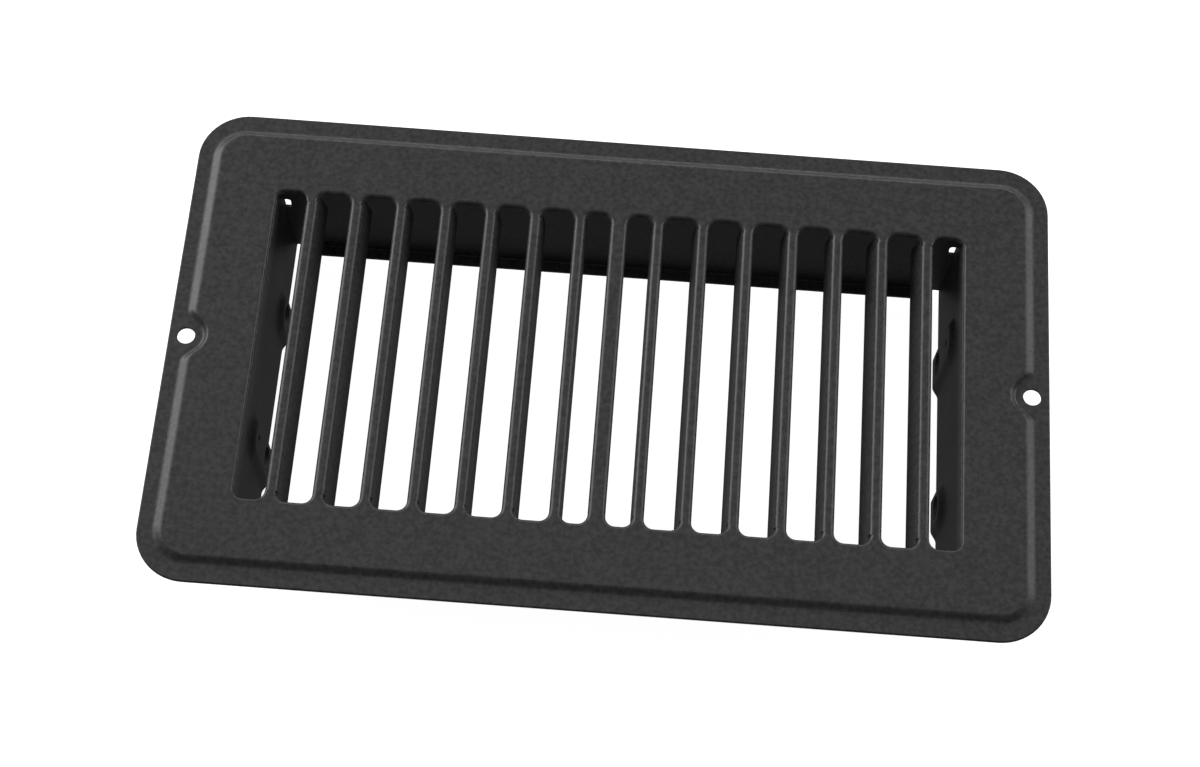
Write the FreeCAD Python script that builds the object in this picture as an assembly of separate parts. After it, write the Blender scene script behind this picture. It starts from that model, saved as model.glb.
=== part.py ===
"""Louvred air grille: a stamped steel floor register with a fixed louvred face and a drop-in duct collar.

Units are millimetres.  X runs along the long side, Y across it, Z out of the face.
The origin is the centre of the rim's underside, the plane that seats on the floor.
"""
import FreeCAD, Part
import math
import os

# ---- driving dimensions ----------------------------------------------------------------------
LENGTH = 243.0             # overall, along X
WIDTH = 142.6              # overall, along Y
CORNER_R = 14.0            # outer corners of the rim
SHEET = 0.9                # face sheet
RIM_EDGE_R = 0.35          # softened upper edge of the rim

RAISE = 1.2                # height of the raised panel above the rim
RIM_X, RIM_Y = 3.7, 4.7    # flat rim outside the step, at the short and the long sides
STEP_X, STEP_Y = 3.6, 2.8  # width of the sloping step, at the short and the long sides
FOOT_R, SHOULDER_R = 9.8, 6.7
STEP_SOFT = 0.4            # share of the step's width that each of its two bends takes

SCREW_PITCH = 233.4        # centre to centre of the two screw holes
SCREW_HOLE_R = 2.5
NOTCH_FOOT_R, NOTCH_SHOULDER_R = 4.4, 6.5    # the step curves in around each screw hole
NOTCH_BLEND_R = 3.0

PITCH = 12.7               # louvre to louvre
LOUVRES_PER_SIDE = 7       # on each side of the centre bar
BAR_WIDTH = 3.1
CENTRE_BAR_WIDTH = 4.8
FIELD_HALF = 97.5          # outer edge of the end slots
SLOT_HALF = 47.05          # half the length of a slot
SLOT_CORNER_R = 2.7
SLOT_EDGE_R = 1.25         # rolled upper edge of the slots, as deep as their lips allow
END_SLOT_EDGE_R = 0.85     # the two end slots have no lip on their outer side
LIP = 1.6                  # depth of the short turned-down lip, below the panel's top
BEND_R = 1.35              # outer bend radius of the lips and vanes

VANE_DEPTH = 8.2           # free edge of a vane, below the panel's top
INNER_VANE_DEPTH = 5.5     # the two vanes beside the centre bar are shorter
VANE_LEAN = (5.0, 9.0, 9.0, 10.0, 10.0, 15.5, 15.5)    # degrees towards the centre, innermost first
VANE_CORNER_R = 1.3
VANE_END_GAP = 0.4         # the vanes stop this far short of the slots' ends
VANE_DROP = 0.1            # and pass this far below the lips

WALL = 0.8                 # collar sheet
COLLAR_X, COLLAR_Y = 98.0, 50.4    # half the collar's outside size, at the panel
WALL_LEAN = 0.033          # the end walls lean in by this much per millimetre of depth
WALL_BEND_R = 1.2
TOP_FLANGE = 8.0           # turned out under the raised panel
BOTTOM_FLANGE = 4.1        # turned in along the bottom of the long walls
FLANGE_END_X, FLANGE_FULL_X = 94.0, 87.0    # its ends are cut at a slant between these
LONG_WALL_Z = -35.0
END_WALL_Z = -36.5
GAP_WIDTH = 1.8            # small gap in each corner of the collar, cut in the long walls' ends
GAP_HALF_HEIGHT = 2.2
GAP_Z = -10.0

BOSS_Y = 22.5              # two bosses are pressed into each end wall, for a damper's pivots
BOSS_DEPTH = 1.5
BOSS_R = 7.8               # round top of a boss, where it leaves the wall
BOSS_FLAT_R = 4.2          # and where it is flat
BOSS_STEPS = 6             # sections through the soft slope between them
PIVOT_Z = -29.2            # centre of the short boss's round top, and height of both pivot holes
PIVOT_R = 3.5
FLARE_WALL = 0.6           # the pivot holes are flared outwards, flush with the wall's outside
RIVET_Z = -15.0            # centre of the tall boss's round top
RIVET_R = 1.1

# ---- worked out from them --------------------------------------------------------------------
PANEL_TOP = RAISE + SHEET
FOOT_X, FOOT_Y = LENGTH / 2 - RIM_X, WIDTH / 2 - RIM_Y
SCREW_X = SCREW_PITCH / 2
BEND_INNER_R = BEND_R - SHEET
WALL_INNER_R = WALL_BEND_R - WALL
WINDOW_HALF = PITCH * LOUVRES_PER_SIDE
BAR_HALF = SLOT_HALF - SLOT_CORNER_R - 0.1     # the louvres' bars are straight up to here
VANE_HALF = SLOT_HALF - VANE_END_GAP
LIP_HALF_X = COLLAR_X - WALL - RIM_EDGE_R      # the lips at the slots' ends stop short of the end walls
UP = FreeCAD.Vector(0, 0, 1)


# ---- helpers ---------------------------------------------------------------------------------
def rounded_wire(corners, place):
    """Closed wire through corners (u, v, radius), rounded by tangent arcs; place(u, v) gives the point."""
    runs = []
    for i, (u, v, radius) in enumerate(corners):
        here = FreeCAD.Vector(u, v, 0)
        before = FreeCAD.Vector(*corners[i - 1][:2], 0) - here
        after = FreeCAD.Vector(*corners[(i + 1) % len(corners)][:2], 0) - here
        if radius <= 0:
            runs.append((here, None, here))
            continue
        before.normalize()
        after.normalize()
        half_angle = before.getAngle(after) / 2
        back = radius / math.tan(half_angle)
        inward = before + after
        inward.normalize()
        middle = here + inward * (radius / math.sin(half_angle) - radius)
        runs.append((here + before * back, middle, here + after * back))
    edges = []
    for i, (start, middle, end) in enumerate(runs):
        if middle is not None:
            arc = Part.Arc(place(start.x, start.y), place(middle.x, middle.y), place(end.x, end.y))
            edges.append(arc.toShape())
        following = runs[(i + 1) % len(runs)][0]
        if end.distanceToPoint(following) > 1e-6:
            edges.append(Part.makeLine(place(end.x, end.y), place(following.x, following.y)))
    return Part.Wire(edges)


def flat(z):
    """Placement of a plan outline at height z."""
    return lambda u, v: FreeCAD.Vector(u, v, z)


def rectangle(half_x, half_y, radius, centre_x=0.0):
    """Corners of a rounded rectangle."""
    signs = ((1, -1), (1, 1), (-1, 1), (-1, -1))
    return [(centre_x + sx * half_x, sy * half_y, radius) for sx, sy in signs]


def prism(corners, z_low, z_high):
    """Plan outline pulled up from z_low to z_high."""
    return Part.Face(rounded_wire(corners, flat(z_low))).extrude(UP * (z_high - z_low))


def box(x_low, x_high, y_low, y_high, z_low, z_high):
    return Part.makeBox(x_high - x_low, y_high - y_low, z_high - z_low, FreeCAD.Vector(x_low, y_low, z_low))


def along_y(profile, y_low, y_high):
    """Profile with corners (x, z, radius), pulled along Y."""
    wire = rounded_wire(profile, lambda u, v: FreeCAD.Vector(u, y_low, v))
    return Part.Face(wire).extrude(FreeCAD.Vector(0, y_high - y_low, 0))


def along_x(profile, x_low, x_high):
    """Profile with corners (y, z, radius), pulled along X."""
    wire = rounded_wire(profile, lambda u, v: FreeCAD.Vector(x_low, u, v))
    return Part.Face(wire).extrude(FreeCAD.Vector(x_high - x_low, 0, 0))


def turned(shape):
    """Copy turned half a turn about Z."""
    copy = shape.copy()
    copy.rotate(FreeCAD.Vector(0, 0, 0), UP, 180)
    return copy


# ---- face frame ------------------------------------------------------------------------------
def step_outline(blend):
    """Outline of the step: its foot at blend 0 and its shoulder at blend 1."""
    half_x = FOOT_X - STEP_X * blend
    half_y = FOOT_Y - STEP_Y * blend
    corner = FOOT_R + (SHOULDER_R - FOOT_R) * blend
    notch = NOTCH_FOOT_R + (NOTCH_SHOULDER_R - NOTCH_FOOT_R) * blend
    tip_x = SCREW_X - notch * math.sqrt(2)
    mouth_y = half_x - tip_x
    side = [
        (half_x, -half_y, corner),
        (half_x, -mouth_y, NOTCH_BLEND_R),
        (tip_x, 0, notch),
        (half_x, mouth_y, NOTCH_BLEND_R),
        (half_x, half_y, corner),
    ]
    return side + [(-x, -y, radius) for x, y, radius in side]


def step_height(blend):
    """Height of the step: a straight slope with a soft bend at each end."""
    scale = 2 * STEP_SOFT * (1 - STEP_SOFT)
    if blend < STEP_SOFT:
        return RAISE * blend ** 2 / scale
    if blend > 1 - STEP_SOFT:
        return RAISE * (1 - (1 - blend) ** 2 / scale)
    return RAISE * (blend - STEP_SOFT / 2) / (1 - STEP_SOFT)


def raised_block(z):
    """Solid under the step and the raised panel, standing on height z."""
    bends = [STEP_SOFT * i / 3 for i in range(4)]
    blends = bends + [1 - blend for blend in reversed(bends)]
    wires = [rounded_wire(step_outline(blend), flat(z + step_height(blend))) for blend in blends]
    return Part.makeLoft(wires, True, True)


def slot_spans():
    """X spans of the sixteen slots."""
    half = [(CENTRE_BAR_WIDTH / 2, PITCH - BAR_WIDTH)]
    for i in range(1, LOUVRES_PER_SIDE):
        half.append((PITCH * i, PITCH * (i + 1) - BAR_WIDTH))
    half.append((WINDOW_HALF, FIELD_HALF))
    return half + [(-high, -low) for low, high in half]


def face_frame():
    """Rim, step and raised panel in one sheet, with slots and two screw holes; the louvres' bay is open."""
    rim = prism(rectangle(LENGTH / 2, WIDTH / 2, CORNER_R), 0, SHEET)
    rim = rim.makeFillet(RIM_EDGE_R, [e for e in rim.Edges if e.BoundBox.ZMin > SHEET - 1e-6])
    lip_half_y = SLOT_HALF + SHEET
    lips = box(-LIP_HALF_X, LIP_HALF_X, -lip_half_y, lip_half_y, PANEL_TOP - LIP, PANEL_TOP - SHEET / 2)
    face = rim.fuse(raised_block(SHEET)).cut(raised_block(0)).fuse(lips)
    for low, high in slot_spans():
        slot = rectangle((high - low) / 2, SLOT_HALF, SLOT_CORNER_R, (low + high) / 2)
        face = face.cut(prism(slot, -SHEET, PANEL_TOP + SHEET))
    for side in (-1, 1):
        below = FreeCAD.Vector(side * SCREW_X, 0, -SHEET)
        face = face.cut(Part.makeCylinder(SCREW_HOLE_R, SHEET * 3, below))
    face = face.removeSplitter()
    middle_edges, end_edges = [], []
    for edge in face.Edges:
        bounds = edge.BoundBox
        reach = max(abs(bounds.XMin), abs(bounds.XMax))
        in_slot = max(abs(bounds.YMin), abs(bounds.YMax)) < SLOT_HALF + 0.01
        if bounds.ZMin < PANEL_TOP - 1e-4 or reach > FIELD_HALF + 0.01 or not in_slot:
            continue
        if min(abs(bounds.XMin), abs(bounds.XMax)) > WINDOW_HALF - 0.01:
            end_edges.append(edge)
        else:
            middle_edges.append(edge)
    face = face.makeFillet(SLOT_EDGE_R, middle_edges)
    ends = [e for e in face.Edges if any(e.isSame(old) for old in end_edges)]
    if len(ends) < len(end_edges):
        raise RuntimeError("end slot edges changed with the first fillet")
    face = face.makeFillet(END_SLOT_EDGE_R, ends)
    bay = box(-WINDOW_HALF, WINDOW_HALF, -BAR_HALF, BAR_HALF, -SHEET, PANEL_TOP + SHEET)
    return face.cut(bay)


# ---- louvres ---------------------------------------------------------------------------------
def louvre(number, side):
    """Louvre 1 to 7 out from the centre: a bar with a short outer lip and a deep vane towards the centre."""
    lip_x = PITCH * number
    top = PANEL_TOP
    depth = INNER_VANE_DEPTH if number == 1 else VANE_DEPTH
    bend = math.radians(90 - VANE_LEAN[number - 1])
    vane_x = lip_x - BAR_WIDTH
    free_x = vane_x - depth / math.tan(bend)
    across = (SHEET * math.sin(bend), -SHEET * math.cos(bend))
    profile = [
        (lip_x, top - LIP, 0),
        (lip_x, top, BEND_R),
        (vane_x, top, BEND_R),
        (free_x, top - depth, 0),
        (free_x + across[0], top - depth + across[1], 0),
        (vane_x + SHEET * math.tan(bend / 2), top - SHEET, BEND_INNER_R),
        (lip_x - SHEET, top - SHEET, BEND_INNER_R),
        (lip_x - SHEET, top - LIP, 0),
    ]
    join_z = top - LIP - VANE_DROP
    join_x = vane_x - (top - join_z) / math.tan(bend)
    vane = [
        (join_x, join_z, 0),
        (free_x, top - depth, 0),
        (free_x + across[0], top - depth + across[1], 0),
        (join_x + SHEET / math.sin(bend), join_z, 0),
    ]
    bar = along_y([(side * x, z, radius) for x, z, radius in profile], -BAR_HALF, BAR_HALF)
    blade = along_y([(side * x, z, radius) for x, z, radius in vane], -VANE_HALF, VANE_HALF)
    solid = bar.fuse(blade).removeSplitter()
    ends = []
    for edge in solid.Edges:
        bounds = edge.BoundBox
        if bounds.ZMax < top - depth + 0.01 and bounds.YLength < 0.01:
            ends.append(edge)
    return solid.makeFillet(VANE_CORNER_R, ends)


def centre_bar():
    """Middle bar: a lip on each side and no vane."""
    half = CENTRE_BAR_WIDTH / 2
    top = PANEL_TOP
    profile = [
        (half, top - LIP, 0),
        (half, top, BEND_R),
        (-half, top, BEND_R),
        (-half, top - LIP, 0),
        (-half + SHEET, top - LIP, 0),
        (-half + SHEET, top - SHEET, BEND_INNER_R),
        (half - SHEET, top - SHEET, BEND_INNER_R),
        (half - SHEET, top - LIP, 0),
    ]
    return along_y(profile, -BAR_HALF, BAR_HALF)


# ---- collar ----------------------------------------------------------------------------------
def hanging_profile(outside, bottom, lean):
    """Section of a collar wall hung by a flange turned out under the panel, with its bend corners."""
    shift = lean * (RAISE - bottom)
    return [
        (outside - shift, bottom, 0),
        (outside - lean * WALL, RAISE - WALL, WALL_INNER_R),
        (outside + TOP_FLANGE, RAISE - WALL, 0),
        (outside + TOP_FLANGE, RAISE, 0),
        (outside - WALL, RAISE, WALL_BEND_R),
        (outside - WALL - shift, bottom, 0),
    ]


def inner_face_x(z):
    """X of the right end wall's inner face at height z."""
    return COLLAR_X - WALL - WALL_LEAN * (RAISE - z)


def long_wall():
    """Back long wall: hung from the panel between the end walls, with a narrow flange turned in below."""
    inner_y = COLLAR_Y - WALL
    flange_y = COLLAR_Y - BOTTOM_FLANGE
    profile = hanging_profile(COLLAR_Y, LONG_WALL_Z, 0)[1:5] + [
        (inner_y, LONG_WALL_Z + WALL, WALL_INNER_R),
        (flange_y, LONG_WALL_Z + WALL, 0),
        (flange_y, LONG_WALL_Z, 0),
        (COLLAR_Y, LONG_WALL_Z, WALL_BEND_R),
    ]
    wall = along_x(profile, -COLLAR_X, COLLAR_X)
    for side in (-1, 1):
        end = [
            (side * inner_face_x(RAISE), RAISE, 0),
            (side * inner_face_x(END_WALL_Z), END_WALL_Z, 0),
            (side * (COLLAR_X + 1), END_WALL_Z, 0),
            (side * (COLLAR_X + 1), RAISE, 0),
        ]
        wall = wall.cut(along_y(end, 0, COLLAR_Y + TOP_FLANGE + 1))
        taper = [
            (side * (COLLAR_X + 1), inner_y, 0),
            (side * FLANGE_END_X, inner_y, 0),
            (side * FLANGE_FULL_X, flange_y - 1, 0),
            (side * (COLLAR_X + 1), flange_y - 1, 0),
        ]
        wall = wall.cut(prism(taper, LONG_WALL_Z - 1, LONG_WALL_Z + WALL + 1))
        gap = [
            (side * (COLLAR_X + 1), GAP_Z - GAP_HALF_HEIGHT, 0),
            (side * (inner_face_x(GAP_Z) - GAP_WIDTH), GAP_Z - GAP_HALF_HEIGHT, GAP_WIDTH / 2),
            (side * (inner_face_x(GAP_Z) - GAP_WIDTH), GAP_Z + GAP_HALF_HEIGHT, GAP_WIDTH / 2),
            (side * (COLLAR_X + 1), GAP_Z + GAP_HALF_HEIGHT, 0),
        ]
        wall = wall.cut(along_y(gap, inner_y - 1, COLLAR_Y + 1))
    return wall


def boss_block(shift_x, top_z, centre_y):
    """Block with a soft slope and a round top, pressed in from the right end wall's face plus shift_x."""
    wires = []
    for step in range(BOSS_STEPS + 1):
        blend = step / BOSS_STEPS
        radius = BOSS_R + (BOSS_FLAT_R - BOSS_R) * blend
        depth = BOSS_DEPTH * (1 - math.cos(math.pi * blend)) / 2 - 0.01
        low, high = END_WALL_Z - 5, top_z + radius
        corners = [
            (centre_y - radius, low, 0),
            (centre_y + radius, low, 0),
            (centre_y + radius, high, radius * 0.999),
            (centre_y - radius, high, radius * 0.999),
        ]
        offset = shift_x - depth
        on_wall = lambda u, v, dx=offset: FreeCAD.Vector(inner_face_x(v) + dx, u, v)
        wires.append(rounded_wire(corners, on_wall))
    return Part.makeLoft(wires, True, True)


def end_wall():
    """Right end wall: flat, hung from the panel, with two pressed bosses for a damper's pivots."""
    wall = along_y(hanging_profile(COLLAR_X, END_WALL_Z, WALL_LEAN), -COLLAR_Y, COLLAR_Y)
    for top_z, centre_y in ((RIVET_Z, BOSS_Y), (PIVOT_Z, -BOSS_Y)):
        wall = wall.fuse(boss_block(0, top_z, centre_y)).cut(boss_block(WALL, top_z, centre_y))
    wall = wall.cut(box(COLLAR_X - 20, COLLAR_X + 1, -COLLAR_Y, COLLAR_Y, END_WALL_Z - 9, END_WALL_Z))
    across = FreeCAD.Vector(1, 0, 0)
    flare_x = inner_face_x(PIVOT_Z) - BOSS_DEPTH + WALL / 2
    flare_length = BOSS_DEPTH + WALL / 2
    for side in (-1, 1):
        flare_start = FreeCAD.Vector(flare_x, side * BOSS_Y, PIVOT_Z)
        wall = wall.fuse(Part.makeCylinder(PIVOT_R + FLARE_WALL, flare_length, flare_start, across))
    holes = ((BOSS_Y, PIVOT_Z, PIVOT_R), (-BOSS_Y, PIVOT_Z, PIVOT_R), (BOSS_Y, RIVET_Z, RIVET_R))
    for y, z, radius in holes:
        wall = wall.cut(Part.makeCylinder(radius, 10, FreeCAD.Vector(COLLAR_X - 8, y, z), across))
    return wall.removeSplitter()


# ---- export ----------------------------------------------------------------------------------
def all_parts():
    """Node name and solid of every piece; louvres are numbered from left to right."""
    parts = {"face_frame": face_frame()}
    for number in range(1, 2 * LOUVRES_PER_SIDE + 2):
        offset = number - LOUVRES_PER_SIDE - 1
        name = "louvre_%02d" % number
        if offset == 0:
            parts["centre_bar"] = centre_bar()
        else:
            parts[name] = louvre(abs(offset), 1 if offset > 0 else -1)
    parts["long_wall_back"] = long_wall()
    parts["long_wall_front"] = turned(parts["long_wall_back"])
    parts["end_wall_right"] = end_wall()
    parts["end_wall_left"] = turned(parts["end_wall_right"])
    return parts


os.makedirs("parts", exist_ok=True)
for node, shape in all_parts().items():
    facts = (node, len(shape.Solids), shape.isValid(), shape.Volume)
    print("%-16s solids %d  valid %s  volume %.1f mm3" % facts)
    shape.exportStep("parts/" + node + ".step")
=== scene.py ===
"""Louvred air grille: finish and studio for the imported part, in metres and in the part's own frame."""
import math

import bpy
from bpy.props import FloatProperty, FloatVectorProperty, PointerProperty
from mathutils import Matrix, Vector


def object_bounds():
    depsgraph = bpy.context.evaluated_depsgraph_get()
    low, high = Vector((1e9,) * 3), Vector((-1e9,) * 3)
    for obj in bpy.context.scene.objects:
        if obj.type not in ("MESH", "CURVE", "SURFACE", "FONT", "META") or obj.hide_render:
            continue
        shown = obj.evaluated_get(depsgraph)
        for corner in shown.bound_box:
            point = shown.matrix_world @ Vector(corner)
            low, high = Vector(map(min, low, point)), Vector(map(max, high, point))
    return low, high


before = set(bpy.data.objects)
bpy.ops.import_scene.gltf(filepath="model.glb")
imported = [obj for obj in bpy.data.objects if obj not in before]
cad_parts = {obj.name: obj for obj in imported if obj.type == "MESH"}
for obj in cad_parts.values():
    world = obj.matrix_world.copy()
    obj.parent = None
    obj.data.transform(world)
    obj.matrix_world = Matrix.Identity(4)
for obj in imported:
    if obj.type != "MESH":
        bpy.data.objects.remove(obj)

bl_info = {
    "name": "Louvred air grille",
    "version": (1, 0, 0),
    "blender": (4, 5, 0),
    "location": "View3D > Sidebar > Air Grille",
    "description": "Powder-coated finish and studio for a stamped steel floor register",
    "category": "Object",
}

CAD_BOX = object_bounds()
WHITE = (1, 1, 1, 1)

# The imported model's own flat material already has the slot's name, so the finish needs another.
FINISH = "grained_powder_coat"

# Orange peel: noise octaves and falloff, and the span of the noise that swings the colour.
PEEL_DETAIL, PEEL_ROUGHNESS = 2.0, 0.5
GRAIN_LOW, GRAIN_HIGH = 0.3, 0.7

# Slow drift of the gloss over the sheet: noise cells per metre, octaves, falloff, swing each way.
DRIFT_SCALE, DRIFT_DETAIL, DRIFT_ROUGHNESS = 60.0, 3.0, 0.6
GLOSS_SWING = 0.05

FLOOR_ROUGHNESS, FLOOR_SPECULAR = 0.9, 0.1
SENSOR_WIDTH = 36.0                     # millimetres
CLIP_NEAR, CLIP_FAR = 0.01, 20.0

# Soft boxes, all aimed at the origin: name, place, width and height, and the setting of its power.
SOFT_BOXES = (
    ("left_light", (-1.25, 0.72, 0.62), (0.9, 0.9), "left_power"),
    ("right_light", (1.25, 0.62, 0.62), (0.9, 0.9), "right_power"),
    ("back_light", (0.0, 1.4, 0.42), (1.8, 0.4), "back_power"),
    ("top_light", (0.0, 0.15, 1.25), (0.9, 0.9), "top_power"),
)


# ---- sizes and colours -----------------------------------------------------------------------
class PowderCoatSettings(bpy.types.PropertyGroup):
    """Black powder coat over stamped steel."""

    colour: FloatVectorProperty(
        name="Coat colour",
        description="Colour of the powder coat",
        subtype="COLOR", size=3, min=0.0, max=1.0,
        default=(0.048, 0.048, 0.0495),
    )
    roughness: FloatProperty(
        name="Roughness",
        description="Mean roughness of the coat",
        subtype="FACTOR", min=0.0, max=1.0, default=0.42,
    )
    grain_size: FloatProperty(
        name="Grain size",
        description="Width of one bump of the coat's orange peel",
        subtype="DISTANCE", unit="LENGTH", default=0.0013,
    )
    mottle: FloatProperty(
        name="Mottle",
        description="How far the coat's colour swings with the grain, as a share of the colour",
        subtype="FACTOR", min=0.0, max=1.0, default=0.38,
    )
    grain_depth: FloatProperty(
        name="Grain depth",
        description="Height of the orange peel",
        subtype="DISTANCE", unit="LENGTH", default=0.000055,
    )


class StudioSettings(bpy.types.PropertyGroup):
    """Floor, lights and camera."""

    camera_place: FloatVectorProperty(
        name="Camera place",
        description="Where the camera stands, from the centre of the rim's underside",
        subtype="TRANSLATION", unit="LENGTH", default=(0.0073, -0.2740, 0.5817),
    )
    camera_turn: FloatVectorProperty(
        name="Camera turn",
        description="Tip, roll and swing of the camera",
        subtype="EULER", default=tuple(math.radians(a) for a in (24.81, -1.014, 4.140)),
    )
    camera_lens: FloatProperty(
        name="Lens",
        description="Focal length on a 36 mm wide sensor",
        subtype="DISTANCE_CAMERA", default=70.06,
    )
    floor_size: FloatProperty(
        name="Floor size",
        description="Side of the square floor",
        subtype="DISTANCE", unit="LENGTH", default=30.0,
    )
    floor_colour: FloatVectorProperty(
        name="Floor colour",
        description="Colour of the pale floor",
        subtype="COLOR", size=3, min=0.0, max=1.0, default=(0.93, 0.93, 0.93),
    )
    floor_glow: FloatProperty(
        name="Floor glow",
        description="Light given off by the floor, as by a light table",
        default=0.95,
    )
    sky_strength: FloatProperty(
        name="Room light",
        description="Strength of the even white light from all round",
        default=0.11,
    )
    left_power: FloatProperty(
        name="Left light",
        description="Soft box beyond the left end and a little behind",
        subtype="POWER", default=13.5,
    )
    right_power: FloatProperty(
        name="Right light",
        description="Soft box beyond the right end and a little behind",
        subtype="POWER", default=7.0,
    )
    back_power: FloatProperty(
        name="Back light",
        description="Long low soft box at the back",
        subtype="POWER", default=6.0,
    )
    top_power: FloatProperty(
        name="Top light",
        description="Soft box overhead",
        subtype="POWER", default=1.3,
    )


def settings(name):
    """A settings group of the scene, by name."""
    return getattr(bpy.context.scene, name)


# ---- node helpers ----------------------------------------------------------------------------
def add_node(tree, kind, place, **values):
    """New node with its inputs set by name; a value that is a socket is linked instead."""
    node = tree.nodes.new(kind)
    node.location = place
    for key, value in values.items():
        target = node.inputs[key.replace("_", " ")]
        if isinstance(value, bpy.types.NodeSocket):
            tree.links.new(value, target)
        else:
            target.default_value = value
    return node


# ---- materials -------------------------------------------------------------------------------
def powder_coat():
    """Satin black powder coat: fine orange peel in height and colour, slightly uneven gloss."""
    coat = settings("grille_coat")
    material = bpy.data.materials.new(FINISH)
    material.use_nodes = True
    tree = material.node_tree
    shader = tree.nodes["Principled BSDF"]
    place = tree.nodes.new("ShaderNodeTexCoord")
    place.location = (-900, 0)
    where = place.outputs["Object"]

    peel = add_node(tree, "ShaderNodeTexNoise", (-650, -250),
                    Vector=where, Scale=1 / coat.grain_size,
                    Detail=PEEL_DETAIL, Roughness=PEEL_ROUGHNESS)
    bump = add_node(tree, "ShaderNodeBump", (-300, -250),
                    Height=peel.outputs["Fac"], Strength=1.0, Distance=coat.grain_depth)
    tree.links.new(bump.outputs["Normal"], shader.inputs["Normal"])

    drift = add_node(tree, "ShaderNodeTexNoise", (-650, 50),
                     Vector=where, Scale=DRIFT_SCALE,
                     Detail=DRIFT_DETAIL, Roughness=DRIFT_ROUGHNESS)
    gloss = add_node(tree, "ShaderNodeMapRange", (-350, 50),
                     Value=drift.outputs["Fac"],
                     To_Min=coat.roughness - GLOSS_SWING, To_Max=coat.roughness + GLOSS_SWING)
    tree.links.new(gloss.outputs["Result"], shader.inputs["Roughness"])

    fleck = add_node(tree, "ShaderNodeMapRange", (-450, 350),
                     Value=peel.outputs["Fac"], From_Min=GRAIN_LOW, From_Max=GRAIN_HIGH)
    colour = add_node(tree, "ShaderNodeMix", (-200, 350))
    colour.data_type = "RGBA"
    tree.links.new(fleck.outputs["Result"], colour.inputs["Factor"])
    for key, share in (("A", 1 - coat.mottle), ("B", 1 + coat.mottle)):
        socket = next(s for s in colour.inputs if s.name == key and s.type == "RGBA")
        socket.default_value = (*[c * share for c in coat.colour], 1.0)
    result = next(s for s in colour.outputs if s.type == "RGBA")
    tree.links.new(result, shader.inputs["Base Color"])
    return material


def coat_material():
    """The powder coat, made the first time that it is asked for."""
    return bpy.data.materials.get(FINISH) or powder_coat()


def finish_nodes(names):
    """Give CAD nodes the powder coat, and stop if one doesn't take it."""
    for name in names:
        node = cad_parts[name]
        node.data.materials.clear()
        node.data.materials.append(coat_material())
        if node.data.materials[0].name != FINISH:
            raise RuntimeError(name + " doesn't wear the grained coat")


# ---- studio ----------------------------------------------------------------------------------
def make_floor():
    """Pale glowing floor under the collar, hidden from diffuse and glossy rays."""
    studio = settings("grille_studio")
    half = studio.floor_size / 2
    low = CAD_BOX[0].z
    mesh = bpy.data.meshes.new("studio_floor")
    corners = [(-half, -half, low), (half, -half, low), (half, half, low), (-half, half, low)]
    mesh.from_pydata(corners, [], [(0, 1, 2, 3)])
    floor = bpy.data.objects.new("studio_floor", mesh)
    bpy.context.scene.collection.objects.link(floor)
    material = bpy.data.materials.new("studio_floor")
    material.use_nodes = True
    shader = material.node_tree.nodes["Principled BSDF"]
    shader.inputs["Base Color"].default_value = (*studio.floor_colour, 1.0)
    shader.inputs["Roughness"].default_value = FLOOR_ROUGHNESS
    shader.inputs["Specular IOR Level"].default_value = FLOOR_SPECULAR
    shader.inputs["Emission Color"].default_value = WHITE
    shader.inputs["Emission Strength"].default_value = studio.floor_glow
    mesh.materials.append(material)
    floor.visible_glossy = False
    floor.visible_diffuse = False


def soft_box(name, place, size, power):
    """Rectangular area light at place, aimed at the origin."""
    lamp = bpy.data.lights.new(name, "AREA")
    lamp.shape = "RECTANGLE"
    lamp.size, lamp.size_y = size
    lamp.energy = power
    light = bpy.data.objects.new(name, lamp)
    light.location = place
    light.rotation_euler = (-light.location).to_track_quat("-Z", "Y").to_euler()
    bpy.context.scene.collection.objects.link(light)


def make_lights():
    """Soft boxes, even room light and a plain view transform."""
    studio = settings("grille_studio")
    for name, place, size, power in SOFT_BOXES:
        soft_box(name, place, size, getattr(studio, power))
    world = bpy.data.worlds.new("studio_room")
    world.use_nodes = True
    background = world.node_tree.nodes["Background"]
    background.inputs["Color"].default_value = WHITE
    background.inputs["Strength"].default_value = studio.sky_strength
    bpy.context.scene.world = world
    bpy.context.scene.view_settings.view_transform = "Standard"


def make_camera():
    """Camera in front of the grille and above it."""
    studio = settings("grille_studio")
    lens = bpy.data.cameras.new("studio_camera")
    lens.sensor_width = SENSOR_WIDTH
    lens.lens = studio.camera_lens
    lens.clip_start = CLIP_NEAR
    lens.clip_end = CLIP_FAR
    camera = bpy.data.objects.new("studio_camera", lens)
    camera.location = studio.camera_place
    camera.rotation_euler = studio.camera_turn
    bpy.context.scene.collection.objects.link(camera)
    bpy.context.scene.camera = camera


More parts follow.
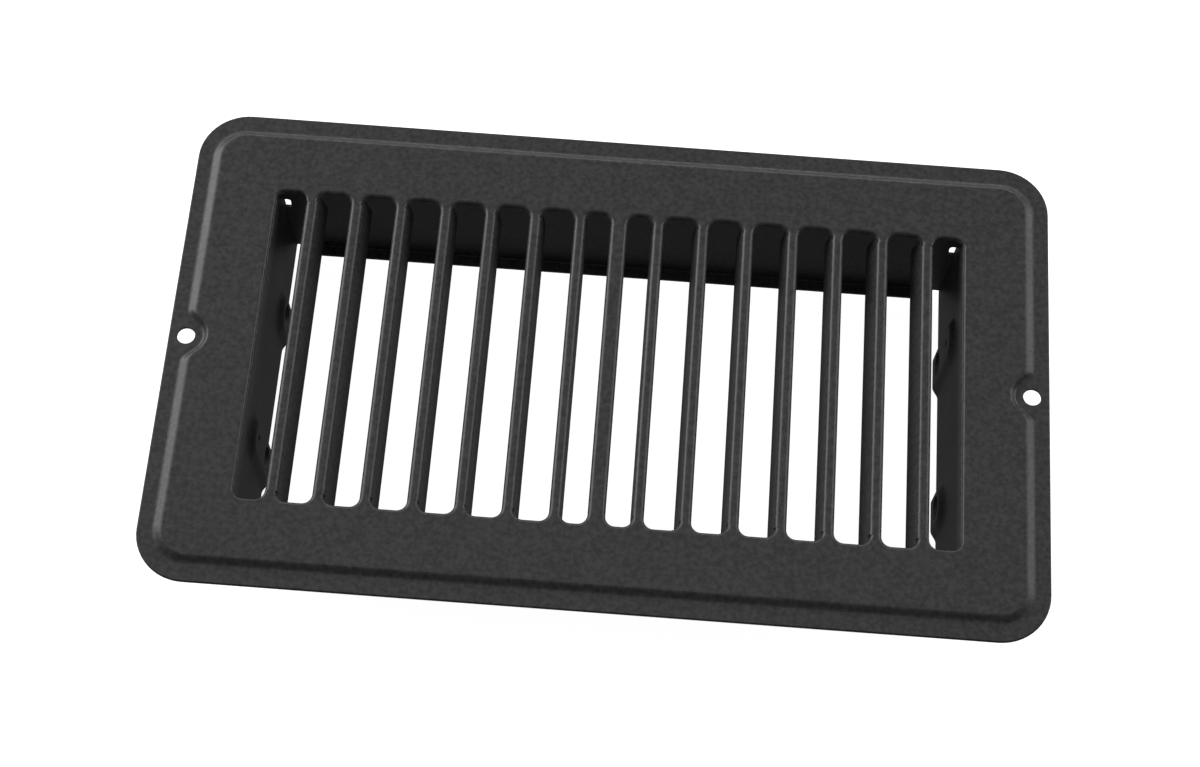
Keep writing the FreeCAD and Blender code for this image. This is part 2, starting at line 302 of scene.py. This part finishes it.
# ---- operators -------------------------------------------------------------------------------
class GRILLE_OT_face(bpy.types.Operator):
    """Finish the stamped face: rim, step and raised panel"""

    bl_idname = "grille.face"
    bl_label = "Face frame"

    def execute(self, context):
        finish_nodes(["face_frame"])
        return {"FINISHED"}


class GRILLE_OT_louvres(bpy.types.Operator):
    """Finish the louvres and the centre bar"""

    bl_idname = "grille.louvres"
    bl_label = "Louvres"

    def execute(self, context):
        finish_nodes([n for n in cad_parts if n.startswith("louvre_") or n == "centre_bar"])
        return {"FINISHED"}


class GRILLE_OT_collar(bpy.types.Operator):
    """Finish the four walls of the duct collar"""

    bl_idname = "grille.collar"
    bl_label = "Duct collar"

    def execute(self, context):
        finish_nodes([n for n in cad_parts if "_wall_" in n])
        return {"FINISHED"}


class GRILLE_OT_studio(bpy.types.Operator):
    """Set up the floor, the lights and the camera"""

    bl_idname = "grille.studio"
    bl_label = "Studio"

    def execute(self, context):
        make_floor()
        make_lights()
        make_camera()
        return {"FINISHED"}


class GRILLE_PT_panel(bpy.types.Panel):
    """Steps that finish the grille"""

    bl_label = "Louvred air grille"
    bl_idname = "GRILLE_PT_panel"
    bl_space_type = "VIEW_3D"
    bl_region_type = "UI"
    bl_category = "Air Grille"

    def draw(self, context):
        for step in STEPS:
            self.layout.operator(step.bl_idname)


STEPS = (GRILLE_OT_face, GRILLE_OT_louvres, GRILLE_OT_collar, GRILLE_OT_studio)
CLASSES = (PowderCoatSettings, StudioSettings, *STEPS, GRILLE_PT_panel)


def register():
    for cls in CLASSES:
        bpy.utils.register_class(cls)
    bpy.types.Scene.grille_coat = PointerProperty(type=PowderCoatSettings)
    bpy.types.Scene.grille_studio = PointerProperty(type=StudioSettings)


def unregister():
    del bpy.types.Scene.grille_studio
    del bpy.types.Scene.grille_coat
    for cls in reversed(CLASSES):
        bpy.utils.unregister_class(cls)


def main():
    """Finish the grille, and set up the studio."""
    register()
    for step in STEPS:
        group, name = step.bl_idname.split(".")
        getattr(getattr(bpy.ops, group), name)()


if __name__ == "__main__":
    main()
